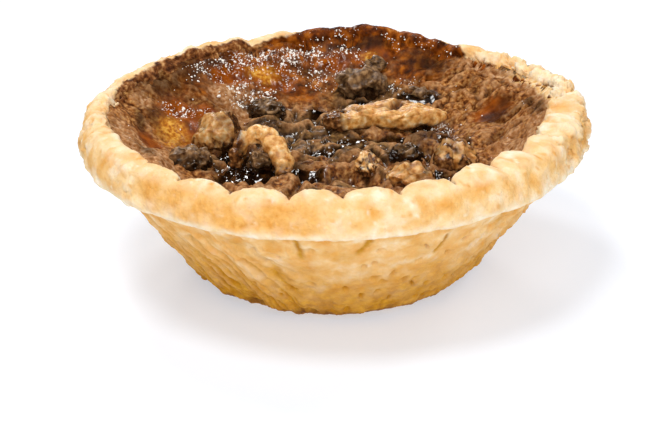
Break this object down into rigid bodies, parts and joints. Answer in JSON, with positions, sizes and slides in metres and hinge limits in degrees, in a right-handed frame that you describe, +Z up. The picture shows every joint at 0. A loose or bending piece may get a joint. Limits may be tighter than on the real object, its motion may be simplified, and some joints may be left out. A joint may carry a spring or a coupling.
{
  "type": "butter tart",
  "caption": "Baked butter tart: a flared shortcrust case with a crimped rim and a sunken, wrinkled syrup filling holding raisins and walnut pieces.",
  "frame": {"origin": "centre of the flat base that the tart stands on, under the middle of its outer box", "axes": "+Z up out of the filling; -Y towards the side that faces the viewer; +X to that viewer's right"},
  "size_m": [0.085, 0.0852, 0.0297],
  "materials": {
    "pastry": "baked shortcrust: pale gold, crumbly and matte, browner at the wall and base",
    "syrup": "baked butter and brown sugar syrup: dark brown wrinkled skin, partly glossy and partly matte",
    "walnut": "toasted walnut with a thin syrup glaze",
    "raisin": "dark wrinkled raisin under a syrup glaze"
  },
  "bodies": {
    "root": {"pastry_shell": "pastry", "filling": "syrup", "walnut_left": "walnut", "walnut_arch": "walnut", "walnut_centre": "walnut", "walnut_front": "walnut", "walnut_front_right": "walnut", "walnut_right": "walnut", "raisin_left": "raisin", "raisin_under_arch": "raisin", "raisin_centre": "raisin", "raisin_back": "raisin", "raisin_back_top": "raisin", "raisin_back_right": "raisin", "raisin_right": "raisin"}
  },
  "joints": []
}
